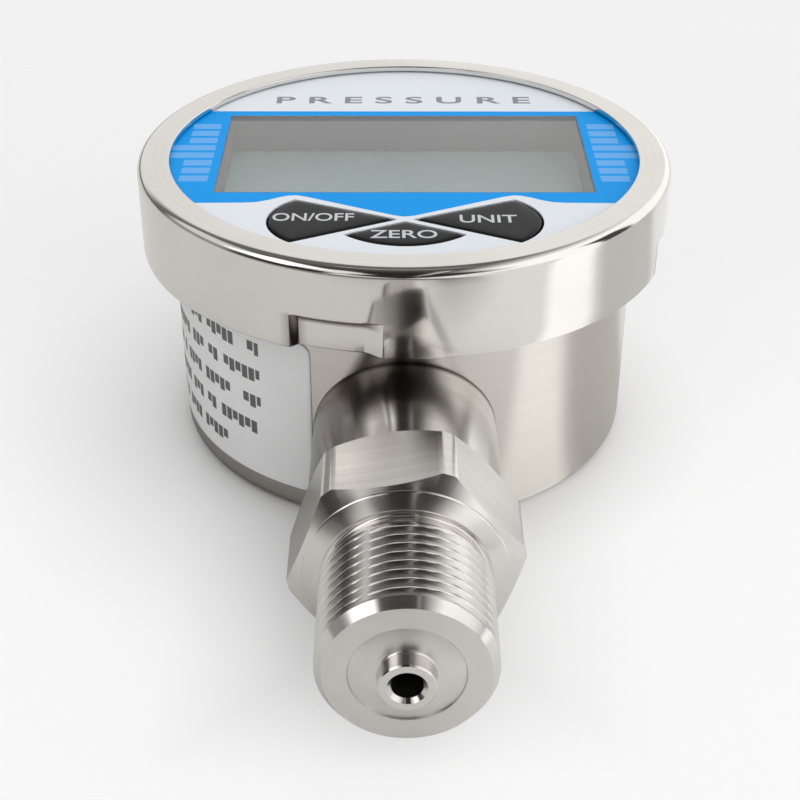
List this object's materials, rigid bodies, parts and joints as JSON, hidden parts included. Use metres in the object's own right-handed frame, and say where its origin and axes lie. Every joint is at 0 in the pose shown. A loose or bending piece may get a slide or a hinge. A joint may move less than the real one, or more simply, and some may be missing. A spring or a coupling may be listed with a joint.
{
  "type": "digital pressure gauge",
  "caption": "Round steel pressure gauge with a display, press keys, a bayonet bezel and a threaded connection with a hexagon on its side.",
  "frame": {"origin": "centre of the flat case back, which the gauge lies on", "axes": "+Z out of the dial, -Y along the pressure connection, +X to the right of the dial's lower edge"},
  "size_m": [0.0734, 0.115, 0.0408],
  "materials": {
    "satin_steel": "satin drawn stainless steel",
    "polished_steel": "polished rolled stainless steel",
    "turned_steel": "turned and milled stainless steel",
    "overlay_print": "printed film, white with a blue band",
    "key_plastic": "dark grey moulded keys with white legends",
    "clear_pane": "clear pane",
    "display_cell": "grey-green reflective display, switched off",
    "grey_plastic": "moulded grey plastic",
    "seal_rubber": "black rubber",
    "board_green": "solder-masked board",
    "label_paper": "white paper label",
    "lead_sheath": "sheathed copper wire",
    "cell_wrap": "shrink-wrapped cell",
    "plated_metal": "nickel-plated steel"
  },
  "bodies": {
    "gauge_body": {"case_body": "satin_steel", "process_connector": "turned_steel", "face_gasket": "seal_rubber", "front_plate": "grey_plastic", "overlay_film": "overlay_print", "display_window": "clear_pane", "key_switches": "grey_plastic", "lcd_glass": "display_cell", "elastomer_strips": "seal_rubber", "backlight_panel": "label_paper", "main_board": "board_green", "board_screws": "plated_metal", "controller_chip": "key_plastic", "sensor_socket": "label_paper", "sensor_lead": "lead_sheath", "sensor_capsule": "turned_steel", "sensor_o_ring": "seal_rubber", "sensor_lock_ring": "turned_steel", "battery_cell": "cell_wrap", "battery_holder": "grey_plastic", "battery_pad": "seal_rubber", "battery_contacts": "plated_metal", "battery_leads": "lead_sheath", "side_label": "label_paper"},
    "bezel": {"bezel_ring": "polished_steel"},
    "on_off_button": {"on_off_key": "key_plastic", "on_off_plunger": "grey_plastic"},
    "zero_button": {"zero_key": "key_plastic", "zero_plunger": "grey_plastic"},
    "unit_button": {"unit_key": "key_plastic", "unit_plunger": "grey_plastic"}
  },
  "joints": [
    {"name": "bezel_twist", "type": "hinge", "parent": "gauge_body", "child": "bezel", "pos_m": [0, 0, 0.035], "axis": [0, 0, 1], "range_deg": [0, 22.2]},
    {"name": "on_off_press", "type": "slide", "parent": "gauge_body", "child": "on_off_button", "axis": [0, 0, -1], "range_m": [0, 0.0004], "stiffness_N_per_m": 200},
    {"name": "zero_press", "type": "slide", "parent": "gauge_body", "child": "zero_button", "axis": [0, 0, -1], "range_m": [0, 0.0004], "stiffness_N_per_m": 200},
    {"name": "unit_press", "type": "slide", "parent": "gauge_body", "child": "unit_button", "axis": [0, 0, -1], "range_m": [0, 0.0004], "stiffness_N_per_m": 200}
  ]
}
